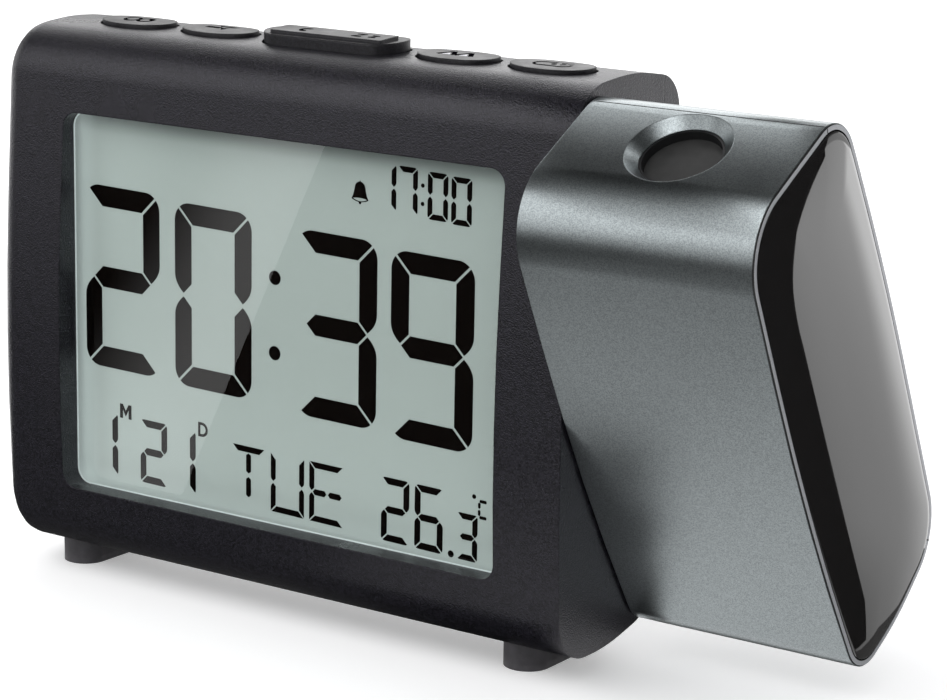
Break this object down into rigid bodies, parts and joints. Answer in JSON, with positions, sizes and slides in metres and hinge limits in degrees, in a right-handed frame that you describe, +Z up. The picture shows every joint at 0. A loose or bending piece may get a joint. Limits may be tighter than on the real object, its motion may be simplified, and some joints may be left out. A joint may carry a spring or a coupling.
{
  "type": "projection alarm clock",
  "caption": "Free-standing digital alarm clock with a large LCD, a row of keys on top and a swivelling projector head on its right-hand end.",
  "frame": {"origin": "on the table under the middle of the clock, with the projector head turned 30 degrees forward", "axes": "+X along the clock towards the projector head, +Y from the display to the back, +Z up"},
  "size_m": [0.151, 0.0588, 0.0933],
  "materials": {
    "housing_plastic": "fine moulded texture",
    "head_paint": "satin metallic paint",
    "piano_black": "high gloss",
    "key_plastic": "fine moulded texture",
    "window_clear": "clear moulded acrylic",
    "lens_clear": "clear moulded acrylic",
    "lens_window": "smoked",
    "lcd_cell": "reflective",
    "slide_glass": "dark",
    "white_plastic": "moulded",
    "guide_acrylic": "frosted",
    "led": "moulded",
    "elastomer": "smooth",
    "circuit_board": "solder resist",
    "black_plastic": "moulded",
    "epoxy": "potted",
    "bright_steel": "plated",
    "wire_sheath": "smooth",
    "foot_rubber": "matte",
    "cell_jacket": "printed film",
    "bush_plastic": "moulded acetal"
  },
  "bodies": {
    "root": {"front_housing": "housing_plastic", "rear_cover": "housing_plastic", "display_window": "window_clear", "lcd_glass": "lcd_cell", "lcd_holder": "white_plastic", "light_guide": "guide_acrylic", "backlight_leds": "led", "elastomer_strips": "elastomer", "main_board": "circuit_board", "clock_chip": "epoxy", "quartz_crystal": "bright_steel", "wire_connector": "white_plastic", "projector_wires": "wire_sheath", "key_board": "circuit_board", "tact_switches": "black_plastic", "board_screws": "bright_steel", "feet": "foot_rubber", "housing_screws": "bright_steel", "battery_cells": "cell_jacket", "battery_springs": "bright_steel", "battery_plates": "bright_steel", "buzzer": "black_plastic", "usb_board": "circuit_board", "usb_socket": "bright_steel", "temperature_sensor": "epoxy", "pivot_bush": "bush_plastic"},
    "battery_door": {"battery_door": "housing_plastic"},
    "snooze_bar": {"snooze_bar": "key_plastic"},
    "mode_button": {"mode_button": "key_plastic"},
    "down_button": {"down_button": "key_plastic"},
    "up_button": {"up_button": "key_plastic"},
    "projector_button": {"projector_button": "key_plastic"},
    "projector_head": {"head_front_shell": "head_paint", "head_rear_shell": "head_paint", "head_end_cap": "piano_black", "pivot_spindle": "black_plastic", "friction_washer": "bright_steel", "retaining_ring": "bright_steel", "projector_window": "lens_window", "projection_lens": "lens_clear", "lens_barrel": "black_plastic", "condenser_lens": "lens_clear", "projector_slide": "slide_glass", "lamp_holder": "black_plastic", "led_board": "circuit_board", "led_emitter": "led", "head_wires": "wire_sheath", "head_screws": "bright_steel"}
  },
  "joints": [
    {"name": "head_swivel", "type": "hinge", "parent": "root", "child": "projector_head", "pos_m": [0.03645, 0.00066, 0.04715], "axis": [1, 0, 0], "range_deg": [-120, 60]},
    {"name": "battery_door_tilt", "type": "hinge", "parent": "root", "child": "battery_door", "pos_m": [-0.03805, 0.01301, 0.02952], "axis": [-1, 0, 0], "range_deg": [0, 75]},
    {"name": "snooze_press", "type": "slide", "parent": "root", "child": "snooze_bar", "axis": [0, 0, -1], "range_m": [0, 0.0005], "stiffness_N_per_m": 300, "springref_m": -0.0005},
    {"name": "mode_press", "type": "slide", "parent": "root", "child": "mode_button", "axis": [0, 0, -1], "range_m": [0, 0.0005], "stiffness_N_per_m": 300, "springref_m": -0.0005},
    {"name": "down_press", "type": "slide", "parent": "root", "child": "down_button", "axis": [0, 0, -1], "range_m": [0, 0.0005], "stiffness_N_per_m": 300, "springref_m": -0.0005},
    {"name": "up_press", "type": "slide", "parent": "root", "child": "up_button", "axis": [0, 0, -1], "range_m": [0, 0.0005], "stiffness_N_per_m": 300, "springref_m": -0.0005},
    {"name": "projector_press", "type": "slide", "parent": "root", "child": "projector_button", "axis": [0, 0, -1], "range_m": [0, 0.0005], "stiffness_N_per_m": 300, "springref_m": -0.0005}
  ]
}
